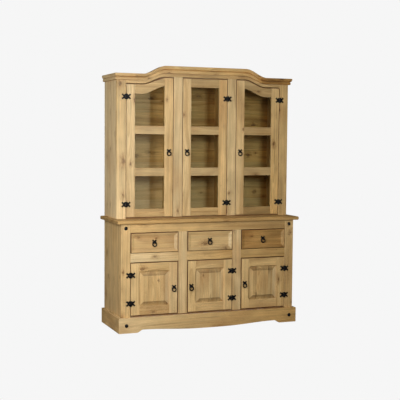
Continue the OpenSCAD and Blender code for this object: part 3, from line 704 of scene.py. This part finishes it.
def opening_gap_shades(node):
    """Painted gap shade of posts, mullions and rails on the edges that face an opening."""
    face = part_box(node)[0].y
    fronts = []
    for bay in BAYS:
        for front in (f"upper_{bay}_door_frame", f"lower_{bay}_door_frame", f"{bay}_drawer_front"):
            fronts.append((front, *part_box(front)))

    def gap_shade(point):
        if point.y > face + SHADE_DEPTH:
            return 0.0
        reach = DOOR_GAP + GAP_SEEN
        for front, low, high in fronts:
            aside = low.x - reach < point.x < high.x + reach
            if aside and low.z - reach < point.z < front_top(front, high.z, point.x) + reach:
                return GAP_SHADE
        return 0.0

    return gap_shade


def sill_shades(node):
    """Painted shade of the sill under a row of doors, on its front."""
    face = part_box(node)[0].y
    return lambda point: SILL_SHADE * (point.y < face + SHADE_DEPTH)


# Where boards took the wax deeper, where painted light makes them paler or deeper, and where painted shade
# darkens them, by point and face round it
MULLIONS_WITHIN = 0.5
LEFTWARD = -0.5
FRONTAL = 0.99
TOP_RAIL_LEVEL = 0.66
STILE_WIDTH = 0.0598
LOWER_RAIL = 0.056
BEVEL_FRONT = 0.004


def ramp(value, start, end, first, last):
    """A number that goes from first to last while the value goes from start to end."""
    share = max(0.0, min(1.0, (value - start) / (end - start)))
    return first + (last - first) * share


def plinth_painted_light(point, normal):
    """Plinth: painted shade deepens the left end, and the front goes from pale to deep towards the right
    as painted light and shade.
    """
    return 0.16 if normal.x < LEFTWARD else ramp(point.x, -0.6, 0.6, -0.14, 0.36)


def post_painted_light(point, normal):
    """Hutch uprights: painted shade deepens the left post towards the cornice and the right post, and the
    mullions are paler.
    """
    if abs(point.x) < MULLIONS_WITHIN:
        return -0.08
    return ramp(point.z, 1.1, 1.62, -0.08, 0.16) if point.x < 0 else 0.10


def post_painted_shade(point, normal):
    """Painted shade: the right post is darker, the left one only towards its top under the cornice, and
    the mullions a little.
    """
    if abs(point.x) < MULLIONS_WITHIN:
        return 0.06
    return 0.14 if point.x > 0 else ramp(point.z, 1.3, 1.62, -0.02, 0.20)


def base_post_rich(point, normal):
    """Base posts: the right one is deeper."""
    return 0.0 if point.x < 0 else 0.12


def rail_painted_light(point, normal):
    """Base rails: painted shade deepens the long top rail under the worktop, and the rails under the
    drawers go from pale to deep towards the right.
    """
    return 0.18 if point.z > TOP_RAIL_LEVEL else ramp(point.x, -0.4, 0.4, -0.16, 0.38)


def back_painted_light(point, normal):
    """Hutch back: painted light, paler towards the bottom and the left."""
    return ramp(point.z, 0.8, 1.6, -0.34, -0.02) + ramp(point.x, -0.1, 0.4, -0.12, 0.20)


def rail_painted_shade(point, normal):
    """Base rails and arch rail: painted shade, darker towards the right."""
    return ramp(point.x, -0.2, 0.4, 0.0, 0.12)


def mullion_rich(point, normal):
    """Base mullions: both pale, the right one more."""
    return -0.05 if point.x < 0 else -0.12


def on_rails(node, on, off):
    """A function of a point on a door frame: one number on its rails and bars, another on its stiles.

    The points where a rail meets a stile count as the rail's.
    """
    low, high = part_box(node)
    left = low.x + STILE_WIDTH
    right = high.x - STILE_WIDTH
    return lambda point, normal: on if left < point.x < right else off


def frame_rich(node):
    """Doors: rails and bars are deeper than stiles, most of all the upper right door's lower rail."""
    tier, bay = node.split("_")[:2]
    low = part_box(node)[0]
    share = on_rails(node, 0.05, STILE_RICH[bay])

    def wax_and_painted_light(point, normal):
        deeper = tier == "upper" and bay == "right" and point.z < low.z + LOWER_RAIL
        return share(point, normal) + (0.26 if deeper and point.x > low.x + STILE_WIDTH else 0.0)

    return wax_and_painted_light


def frame_painted_shade(node):
    """Doors: painted shade darkens rails and bars, more on glazed doors and on the right doors' lower
    rails.
    """
    tier, bay = node.split("_")[:2]
    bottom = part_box(node)[0].z
    share = on_rails(node, RAIL_PAINTED_SHADE[bay] if tier == "upper" else 0.04, 0.0)

    def painted_shade(point, normal):
        return share(point, normal) * (1.3 if bay == "right" and point.z < bottom + LOWER_RAIL else 1.0)

    return painted_shade


def drawer_tone_and_light(node):
    """Drawer fronts: one tone each, and a painted highlight makes the slope on the right, which faces
    left, paler.
    """
    bay = node.split("_")[0]
    return lambda point, normal: DRAWER_RICH[bay] - 0.25 * (-0.9 < normal.x < -0.1)


def panel_wax_and_light(node):
    """Panels: the bevels along the grain are painted pale as painted light, most of all the one facing
    right, and those across it took more wax.
    """
    bay = node.split("_")[1]

    def wax_and_painted_light(point, normal):
        if abs(normal.y) > FRONTAL:
            return PANEL_RICH[bay]
        if abs(normal.x) > abs(normal.z):
            return PANEL_RICH[bay] - (0.22 if normal.x > 0 else 0.05)
        return PANEL_RICH[bay] + 0.12

    return wax_and_painted_light


def panel_painted_shade(node):
    """Panels: painted shade on the bevels across the grain, most of all along the field's edge."""
    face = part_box(node)[0].y
    bay = node.split("_")[1]

    def painted_shade(point, normal):
        if abs(normal.y) > FRONTAL or abs(normal.x) > abs(normal.z):
            return PANEL_DARKENING[bay]
        return PANEL_DARKENING[bay] + (0.36 if point.y < face + BEVEL_FRONT else 0.08)

    return painted_shade


# Tones of single boards, painted light and painted shade, by bay and by node
RAIL_PAINTED_SHADE = {"left": 0.17, "middle": 0.22, "right": 0.28}
STILE_RICH = {"left": -0.04, "middle": -0.02, "right": 0.02}
DRAWER_RICH = {"left": 0.0, "middle": 0.09, "right": 0.46}
DRAWER_DARKENING = {"left": 0.02, "middle": 0.0, "right": 0.14}
PANEL_RICH = {"left": -0.04, "middle": 0.07, "right": 0.06}
PANEL_DARKENING = {"left": 0.02, "middle": 0.04, "right": 0.14}
# Painted light makes the side panels paler and painted shade deepens the shelves; the functions name their
# own
CARCASS_WAX_AND_LIGHT = {
    "plinth": plinth_painted_light,
    "base_side_panels": -0.04,
    "hutch_side_panels": -0.34,
    "hutch_uprights": post_painted_light,
    "base_rails": rail_painted_light,
    "base_mullions": mullion_rich,
    "base_top_board": 0.18,
    "hutch_shelves": 0.15,
    "base_posts": base_post_rich,
    "hutch_arch_rail": 0.12,
    "hutch_back_panel": back_painted_light,
}
# Painted shade, and painted light where below zero, as on the side panels
CARCASS_PAINTED_SHADE = {
    "base_top_board": 0.10,
    "hutch_uprights": post_painted_shade,
    "hutch_side_panels": -0.17,
    "base_side_panels": -0.08,
    "base_mullions": 0.04,
    "base_rails": rail_painted_shade,
    "hutch_arch_rail": rail_painted_shade,
}

# Wood of the two carcasses: node, edge radius in metres, and whether it is an inner board
CARCASS = (
    ("plinth", 0.0009, False),
    ("base_side_panels", 0.0012, False),
    ("base_posts", 0.0018, False),
    ("base_mullions", 0.0014, False),
    ("base_rails", 0.0014, False),
    ("base_top_board", 0.0012, False),
    ("hutch_side_panels", 0.0012, False),
    ("hutch_uprights", 0.0016, False),
    ("hutch_arch_rail", 0.0014, False),
    ("hutch_top_board", 0.0010, False),
    ("base_bottom_board", 0.0003, False),
    ("hutch_bottom_board", 0.0010, False),
    ("base_partitions", 0.0008, True),
    ("base_shelves", 0.0010, True),
    ("base_back_panel", 0.0006, True),
    ("drawer_runners", 0.0006, True),
    ("hutch_partitions", 0.0008, True),
    ("hutch_shelves", 0.0014, True),
    ("hutch_back_panel", 0.0006, True),
)
FACE_BOARDS = ("base_posts", "base_mullions", "base_rails", "hutch_uprights", "hutch_arch_rail")
SILLS = ("base_bottom_board", "hutch_bottom_board")
for seed, (node, edge, inside) in enumerate(CARCASS):
    gap_shades = None
    if node in FACE_BOARDS:
        gap_shades = opening_gap_shades(node)
    if node in SILLS:
        gap_shades = sill_shades(node)
    wax_and_painted_light = CARCASS_WAX_AND_LIGHT.get(node, 0.0)
    painted_shade = CARCASS_PAINTED_SHADE.get(node, 0.0)
    wooden(node, CABINET, inside, edge, seed, gap_shades=gap_shades, wax_and_painted_light=wax_and_painted_light, painted_shade=painted_shade)

# Doors and drawers: the radii of their edges in metres, and the seed of each kind's first board
FRONT_EDGE = 0.0018
PANEL_EDGE = 0.0010
BOX_EDGE = 0.0008
UPPER_SEED = 100
LOWER_SEED = 110
PANEL_SEED = 120
DRAWER_SEED = 130
BOX_SEED = 140
for number, bay in enumerate(BAYS):
    upper = f"upper_{bay}_door"
    lower = f"lower_{bay}_door"
    drawer = f"{bay}_drawer"
    for door, seed in ((upper, UPPER_SEED + number), (lower, LOWER_SEED + number)):
        node = f"{door}_frame"
        tones = {"wax_and_painted_light": frame_rich(node), "painted_shade": frame_painted_shade(node)}
        wooden(node, door, False, FRONT_EDGE, seed, gap_shades=door_gap_shades(node), rim=True, **tones)
    node = f"{drawer}_front"
    tones = {"wax_and_painted_light": drawer_tone_and_light(node), "painted_shade": DRAWER_DARKENING[bay]}
    seed = DRAWER_SEED + number
    wooden(node, drawer, False, FRONT_EDGE, seed, gap_shades=door_gap_shades(node), rim=True, **tones)
    node = f"lower_{bay}_panel"
    tones = {"wax_and_painted_light": panel_wax_and_light(node), "painted_shade": panel_painted_shade(node)}
    wooden(node, lower, False, PANEL_EDGE, PANEL_SEED + number, along=2, **tones)
    wooden(f"{bay}_drawer_box", drawer, True, BOX_EDGE, BOX_SEED + number)
    pane_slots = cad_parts[f"upper_{bay}_glass"].data.materials
    pane_slots.clear()
    pane_slots.append(GLASS)

# Cornice: one moulded section swept over the arch, and a return along each side
# The section's points from its bottom up: out in front, out at the sides, above the flat top, in metres
CORNICE_SECTION = (
    (0.0000, 0.0000, -0.0430), (0.0100, 0.0090, -0.0430), (0.0128, 0.0118, -0.0418),
    (0.0140, 0.0130, -0.0390), (0.0140, 0.0130, -0.0300), (0.0128, 0.0120, -0.0262),
    (0.0104, 0.0100, -0.0240), (0.0104, 0.0100, -0.0226), (0.0170, 0.0128, -0.0218),
    (0.0226, 0.0158, -0.0192), (0.0252, 0.0176, -0.0152), (0.0252, 0.0176, -0.0136),
    (0.0272, 0.0184, -0.0130), (0.0280, 0.0190, -0.0118), (0.0280, 0.0190, -0.0018),
    (0.0270, 0.0182, -0.0004), (0.0258, 0.0174, 0.0000), (0.0000, 0.0000, 0.0000),
)

# The arch rail's height, the joints in the front with their slant and their hairline, in metres
RAIL_HEIGHT = 0.063
CORNICE_JOINT = 0.400
JOINT_SLANT = 0.5
JOINT_CLEAR = 0.014
HAIRLINE = 0.0002

# The curve's steps, the seed, the least bend that looks sharp, in degrees, and how an underside faces
ARCH_STEPS = 22
CORNICE_SEED = 31
CORNICE_CREASE = 34
UNDERSIDE = -0.85


def arch_lift(level):
    """Height of the arch at a level that is given from the flat top."""
    return RAIL_RISE + (ARCH_RISE - RAIL_RISE) * (level + RAIL_HEIGHT) / RAIL_HEIGHT


def swept(shape, rows):
    """Closes a board from rows of points, one for each place along it."""
    made = [[shape.verts.new(point) for point in row] for row in rows]
    count = len(made[0])
    for one, next_one in zip(made, made[1:]):
        for i in range(count):
            j = (i + 1) % count
            shape.faces.new((one[i], one[j], next_one[j], next_one[i]))
    shape.faces.new(made[0])
    shape.faces.new(list(reversed(made[-1])))


def front_row(x, slant=0.0):
    """The section at a place along the front, cut at a slant from it."""
    row = []
    for out, _, level in CORNICE_SECTION:
        place = x - slant * level
        lift = arch_lift(level) * arch_share(place)
        row.append((place, HUTCH_FRONT - out, FLAT_TOP + level + lift))
    return row


def mitred_row(side):
    """The section at the front corner on one side, along the mitre."""
    return [
        (side * (HALF_WIDTH + aside - HAIRLINE), HUTCH_FRONT - out, FLAT_TOP + level)
        for out, aside, level in CORNICE_SECTION
    ]


def cornice_tone_and_light(point, normal):
    """Cornice: painted light on the left return, painted shade deepening to the right in front and under
    the mouldings, and the right board deeper.
    """
    if normal.x < LEFTWARD:
        return -0.14
    under = 0.9 if normal.z < UNDERSIDE else 0.0
    if point.x > CORNICE_JOINT:
        return under + 0.60
    return under + ramp(point.x, -0.60, CORNICE_JOINT, 0.0, 0.25)


def cornice():
    """Three boards in front, joined at a slant, and two returns, mitred at the corners."""
    shape = bmesh.new()
    curve = [ARCH_FULL + (ARCH_START - ARCH_FULL) * i / ARCH_STEPS for i in range(ARCH_STEPS + 1)]
    for side in (-1, 1):
        outer = [x for x in curve if x > CORNICE_JOINT + JOINT_CLEAR]
        rows = [front_row(side * (CORNICE_JOINT + HAIRLINE), side * JOINT_SLANT)]
        rows += [front_row(side * x) for x in outer]
        rows += [mitred_row(side)]
        swept(shape, rows if side > 0 else rows[::-1])
        corner = [
            (side * (HALF_WIDTH + aside), HUTCH_FRONT - out + HAIRLINE, FLAT_TOP + level)
            for out, aside, level in CORNICE_SECTION
        ]
        back = [(x, BACK, z) for x, _, z in corner]
        swept(shape, [corner, back] if side > 0 else [back, corner])
    inner = [x for x in curve if x < CORNICE_JOINT - JOINT_CLEAR]
    middle = [-x for x in reversed(inner)] + inner
    rows = [front_row(-CORNICE_JOINT + HAIRLINE, -JOINT_SLANT)]
    rows += [front_row(x) for x in middle]
    rows += [front_row(CORNICE_JOINT - HAIRLINE, JOINT_SLANT)]
    swept(shape, rows)
    mesh = outward_mesh("cornice", shape)
    for face in mesh.polygons:
        face.use_smooth = True
    mesh.set_sharp_from_angle(angle=math.radians(CORNICE_CREASE))
    mark_boards(mesh, CORNICE_SEED, wax_and_painted_light=cornice_tone_and_light)
    new_piece("cornice_moulding", mesh, CABINET, PINE, ["cornice"])


cornice()


# Iron fittings: softened leaves, plates and studs, with the radii of their edges in metres
LEAF_EDGE = 0.0005
PIN_EDGE = 0.0004
CATCH_EDGE = 0.0010
WIRE_STEPS = 56
WIRE_SIDES = 14


def iron_copy(node, body, edge):
    mesh = softened(merged_copy(node), edge, IRON_CORNER)
    new_piece(node + "_iron", mesh, body, IRON, [node])


def forged_ring(node, body):
    """A drop ring whose wire is up to a tenth thinner in places, as a forged one is."""
    low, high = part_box(node)
    middle = (low + high) / 2
    wire = (high.y - low.y) / 2
    radius = (high.x - low.x) / 2 - wire
    shape = bmesh.new()
    rows = []
    for i in range(WIRE_STEPS):
        turn = 2 * math.pi * i / WIRE_STEPS
        slow = 0.5 + 0.5 * math.sin(5 * turn + 1.0)
        quick = 0.5 + 0.5 * math.sin(9 * turn)
        uneven = 1 - 0.05 * slow - 0.04 * quick
        row = []
        for j in range(WIRE_SIDES):
            angle = 2 * math.pi * j / WIRE_SIDES
            reach = radius + wire * uneven * math.cos(angle)
            point = (reach * math.sin(turn), wire * uneven * math.sin(angle), reach * math.cos(turn))
            row.append(shape.verts.new(Vector(point) + middle))
        rows.append(row)
    for i in range(WIRE_STEPS):
        for j in range(WIRE_SIDES):
            here, there = rows[i], rows[(i + 1) % WIRE_STEPS]
            beside = (j + 1) % WIRE_SIDES
            shape.faces.new((here[j], here[beside], there[beside], there[j])).smooth = True
    new_piece(node + "_iron", outward_mesh(node, shape), body, IRON, [node])


iron_copy("hinge_post_leaves", CABINET, LEAF_EDGE)
iron_copy("hinge_pins", CABINET, PIN_EDGE)
iron_copy("stud_nails", CABINET, PIN_EDGE)
catches = softened(merged_copy("door_catches"), CATCH_EDGE)
new_piece("door_catch_blocks", catches, CABINET, ZINC, ["door_catches"])
for bay in BAYS:
    iron_copy(f"upper_{bay}_fittings", f"upper_{bay}_door", LEAF_EDGE)
    iron_copy(f"lower_{bay}_fittings", f"lower_{bay}_door", LEAF_EDGE)
    iron_copy(f"{bay}_drawer_plate", f"{bay}_drawer", LEAF_EDGE)
    forged_ring(f"upper_{bay}_ring", f"upper_{bay}_pull_ring")
    forged_ring(f"lower_{bay}_ring", f"lower_{bay}_pull_ring")
    forged_ring(f"{bay}_drawer_ring", f"{bay}_drawer_pull_ring")


# Nail heads: forged domes on the leaves and plates, set by a tree of geometry nodes, sizes in metres
# A leaf's nails are this far aside and above or below its pin's middle, a plate's from the ring's eye
LEAF_THICKNESS = 0.0025
PLATE_THICKNESS = 0.003
DRAWER_FIELD = 0.007
LEAF_NAIL = (0.0250, 0.0150)
PLATE_NAIL = (0.0105, 0.0130)
NAIL_INPUTS = {"Head Radius": 0.0024, "Head Height": 0.0012, "Seed": 7}
SMALLEST_HEAD = 0.88
LARGEST_HEAD = 1.12


def nail_tree():
    """A tree that turns each point of a mesh into a flattened dome that faces the front."""
    tree = bpy.data.node_groups.new("nail heads", "GeometryNodeTree")
    for name, kind in (
        ("Places", "NodeSocketGeometry"),
        ("Head Radius", "NodeSocketFloat"),
        ("Head Height", "NodeSocketFloat"),
        ("Seed", "NodeSocketInt"),
    ):
        tree.interface.new_socket(name, in_out="INPUT", socket_type=kind)
    tree.interface.new_socket("Nails", in_out="OUTPUT", socket_type="NodeSocketGeometry")

    def node(kind, values, settings=()):
        made = tree.nodes.new(kind)
        for name, value in settings:
            setattr(made, name, value)
        for name, value in values.items():
            if isinstance(value, bpy.types.NodeSocket):
                tree.links.new(value, made.inputs[name])
            else:
                made.inputs[name].default_value = value
        return made

    given = node("NodeGroupInput", {}).outputs
    uneven = {2: SMALLEST_HEAD, 3: LARGEST_HEAD, "Seed": given["Seed"]}
    factor = node("FunctionNodeRandomValue", uneven, (("data_type", "FLOAT"),)).outputs[1]
    size = {"X": given["Head Radius"], "Y": given["Head Height"], "Z": given["Head Radius"]}
    whole = node("ShaderNodeCombineXYZ", size).outputs[0]
    scaling = (("operation", "SCALE"),)
    scale = node("ShaderNodeVectorMath", {0: whole, "Scale": factor}, scaling).outputs[0]
    points = node("GeometryNodeMeshToPoints", {"Mesh": given["Places"]}).outputs[0]
    dome = node("GeometryNodeMeshUVSphere", {"Segments": 14, "Rings": 8, "Radius": 1.0}).outputs[0]
    on_points = {"Points": points, "Instance": dome, "Scale": scale}
    heads = node("GeometryNodeInstanceOnPoints", on_points).outputs[0]
    real = node("GeometryNodeRealizeInstances", {"Geometry": heads}).outputs[0]
    smooth = node("GeometryNodeSetShadeSmooth", {0: real}).outputs[0]
    black = node("GeometryNodeSetMaterial", {"Geometry": smooth, "Material": IRON}).outputs[0]
    node("NodeGroupOutput", {"Nails": black})
    return tree


def nail_heads(tree, body, places):
    """One mesh with the nails that ride on a body."""
    mesh = bpy.data.meshes.new("places")
    mesh.from_pydata(places, [], [])
    work = placed("work", mesh)
    modifier = work.modifiers.new("nails", "NODES")
    modifier.node_group = tree
    for item in tree.interface.items_tree:
        if item.name in NAIL_INPUTS:
            modifier[item.identifier] = NAIL_INPUTS[item.name]
    new_piece(body + "_nails", result_of(work), body, IRON)


def nearest_bay(tier, x):
    """The bay whose door in a tier is nearest to a place x."""

    def distance(bay):
        return abs(sum(corner.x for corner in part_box(f"{tier}_{bay}_door_frame")) / 2 - x)

    return min(BAYS, key=distance)


def nail_places():
    """Places of the nails by body: two on each half of a hinge, and two on each pull's upper arms."""
    places = {CABINET: []}
    pins = merged_copy("hinge_pins")
    for group in islands(pins):
        points = [pins.vertices[i].co for i in group]
        pin_x = (min(p.x for p in points) + max(p.x for p in points)) / 2
        pin_z = (min(p.z for p in points) + max(p.z for p in points)) / 2
        tier = "upper" if pin_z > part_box("base_top_board")[1].z else "lower"
        bay = nearest_bay(tier, pin_x)
        door = f"{tier}_{bay}_door"
        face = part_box(door + "_frame")[0].y - LEAF_THICKNESS
        door_side = 1 if bay == "left" else -1
        aside, above = LEAF_NAIL
        for body, side in ((CABINET, -door_side), (door, door_side)):
            for up in (-above, above):
                places.setdefault(body, []).append((pin_x + side * aside, face, pin_z + up))
    for bay in BAYS:
        for pull, body, face in (
            (f"upper_{bay}_ring", f"upper_{bay}_door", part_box(f"upper_{bay}_door_frame")[0].y),
            (f"lower_{bay}_ring", f"lower_{bay}_door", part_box(f"lower_{bay}_door_frame")[0].y),
            (f"{bay}_drawer_ring", f"{bay}_drawer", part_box(f"{bay}_drawer_front")[0].y + DRAWER_FIELD),
        ):
            low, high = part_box(pull)
            eye = high.z - (high.y - low.y) / 2
            for aside in (-PLATE_NAIL[0], PLATE_NAIL[0]):
                place = ((low.x + high.x) / 2 + aside, face - PLATE_THICKNESS, eye + PLATE_NAIL[1])
                places.setdefault(body, []).append(place)
    return places


nail_setter = nail_tree()
for body, places in nail_places().items():
    nail_heads(nail_setter, body, places)


# Studio: a pale floor and surround, a key light from the left, two soft lights in front and a weak card
FLOOR_REACH = 30
PALE = linear(246, 246, 246)
FILL = linear(255, 238, 170)
FILL_STRENGTH = 0.11

# Lights: name, place, target and size in metres, power in watts, and colour
LIGHTS = (
    ("key", (-1.72, -1.55, 1.30), (-0.35, 0.0, 1.05), (0.6, 1.5), 37.5, (0.88, 0.89, 0.92)),
    ("front", (-0.1, -3.1, 1.62), (0.0, 0.0, 1.1), (0.5, 0.6), 30, (0.86, 0.95, 1.0)),
    ("above_camera", (-2.3, -5.3, 2.6), (0.0, 0.0, 1.0), (1.4, 1.4), 42, (0.92, 0.68, 0.43)),
    ("card", (0.40, -3.0, 1.25), (-0.40, 0.0, 1.10), (0.32, 1.50), 2.0, (1.0, 0.80, 0.52)),
)


def area_light(name, place, target, size, power, colour):
    data = bpy.data.lights.new(name, "AREA")
    data.shape = "RECTANGLE"
    data.size, data.size_y = size
    data.energy = power
    data.color = colour
    light = placed(name, data)
    aim = Vector(target) - Vector(place)
    turn = aim.to_track_quat("-Z", "Y").to_matrix().to_4x4()
    light.matrix_world = Matrix.Translation(place) @ turn
    light.visible_camera = False


def pale_floor():
    """A floor that looks as pale as the surround and sends up the light of a greyer one."""
    mesh = bpy.data.meshes.new("floor")
    reach = FLOOR_REACH
    corners = [(-reach, -reach, 0), (reach, -reach, 0), (reach, reach, 0), (-reach, reach, 0)]
    mesh.from_pydata(corners, [], [(0, 1, 2, 3)])
    floor = placed("floor", mesh)
    finish = Finish("pale floor")
    glow = finish.node("ShaderNodeEmission", {}, {"Color": PALE, "Strength": 1.0})
    matt = finish.node("ShaderNodeBsdfDiffuse", {}, {"Color": linear(150, 150, 150)})
    seen = finish.node("ShaderNodeLightPath", {}, {}, "Is Camera Ray")
    shader = finish.node("ShaderNodeMixShader", {}, {0: seen, 1: matt, 2: glow})
    mesh.materials.append(finish.output(shader))


def surround():
    """A surround that looks pale, as the floor does, and lights the cabinet softly."""
    world = bpy.data.worlds.new("surround")
    bpy.context.scene.world = world
    world.use_nodes = True
    tree = world.node_tree
    tree.nodes.clear()
    seen = tree.nodes.new("ShaderNodeBackground")
    seen.inputs["Color"].default_value = PALE
    fill = tree.nodes.new("ShaderNodeBackground")
    fill.inputs["Color"].default_value = FILL
    fill.inputs["Strength"].default_value = FILL_STRENGTH
    path = tree.nodes.new("ShaderNodeLightPath")
    mix = tree.nodes.new("ShaderNodeMixShader")
    out = tree.nodes.new("ShaderNodeOutputWorld")
    tree.links.new(path.outputs["Is Camera Ray"], mix.inputs[0])
    tree.links.new(fill.outputs[0], mix.inputs[1])
    tree.links.new(seen.outputs[0], mix.inputs[2])
    tree.links.new(mix.outputs[0], out.inputs["Surface"])


pale_floor()
surround()
for light in LIGHTS:
    area_light(*light)
bpy.context.scene.view_settings.view_transform = "Standard"
